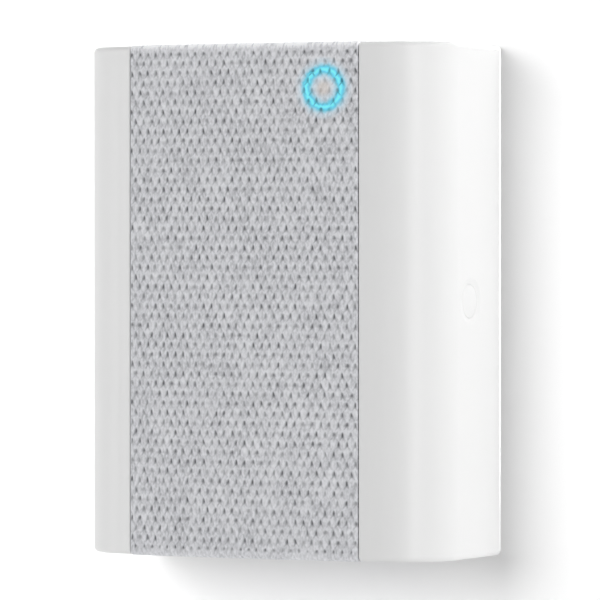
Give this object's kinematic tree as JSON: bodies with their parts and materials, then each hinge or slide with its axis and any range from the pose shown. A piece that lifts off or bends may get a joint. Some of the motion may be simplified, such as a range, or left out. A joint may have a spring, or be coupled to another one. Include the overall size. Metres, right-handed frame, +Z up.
{
  "type": "plug-in door chime",
  "caption": "White plug-in wall chime with a full-height grey fabric speaker band, a ring light under the fabric, a side push button and plug blades.",
  "frame": {"origin": "on the wall face, midway between the roots of the two plug blades", "axes": "+X to the right seen from the front, +Y into the wall along the blades, +Z up"},
  "size_m": [0.0616, 0.0421, 0.0782],
  "materials": {
    "shell": "semi-matte moulded white",
    "fabric": "light grey knit",
    "guide": "frosted light pipe, lit cyan",
    "board": "solder-masked glass-fibre board",
    "black_plastic": "moulded black plastic",
    "metal": "nickel-plated steel",
    "blade": "nickel-plated brass",
    "ferrite": "sintered ferrite",
    "winding": "taped winding",
    "coil": "enamelled copper wire",
    "foam": "soft foam",
    "paper": "pressed paper cone",
    "sheet_plastic": "insulating film",
    "component": "sleeved or potted component",
    "led": "chip package",
    "lead": "insulated wire",
    "screw": "zinc-plated steel"
  },
  "bodies": {
    "casing": {"front_housing": "shell", "rear_cover": "shell", "plug_insert": "shell", "grille_fabric": "fabric", "grille_plate": "black_plastic", "light_guide": "guide", "light_shroud": "black_plastic", "leds": "led", "housing_screws": "screw", "speaker_screws": "screw", "board_screws": "screw", "power_board_screws": "screw", "plug_blades": "blade", "blade_contacts": "blade", "main_board": "board", "power_board": "board", "board_shield": "metal", "board_chips": "black_plastic", "antennas": "metal", "speaker_socket": "black_plastic", "link_connector": "black_plastic", "switch_body": "black_plastic", "power_insulator": "sheet_plastic", "transformer_core": "ferrite", "transformer_coil": "winding", "capacitors": "component", "fuse": "component", "varistor": "component", "speaker_gasket": "foam", "speaker_basket": "metal", "speaker_surround": "foam", "magnet_yoke": "metal", "speaker_magnet": "metal", "magnet_plate": "metal", "speaker_leads": "lead"},
    "button": {"side_button": "shell", "switch_plunger": "black_plastic"},
    "diaphragm": {"speaker_cone": "paper", "dust_cap": "paper", "voice_coil": "coil"}
  },
  "joints": [
    {"name": "button_press", "type": "slide", "parent": "casing", "child": "button", "axis": [-1, 0, 0], "range_m": [0, 0.0004], "stiffness_N_per_m": 1500, "springref_m": -0.0003},
    {"name": "speaker_travel", "type": "slide", "parent": "casing", "child": "diaphragm", "axis": [0, -1, 0], "range_m": [-0.0004, 0.0004], "stiffness_N_per_m": 1200, "deforming": ["speaker_surround"]}
  ]
}
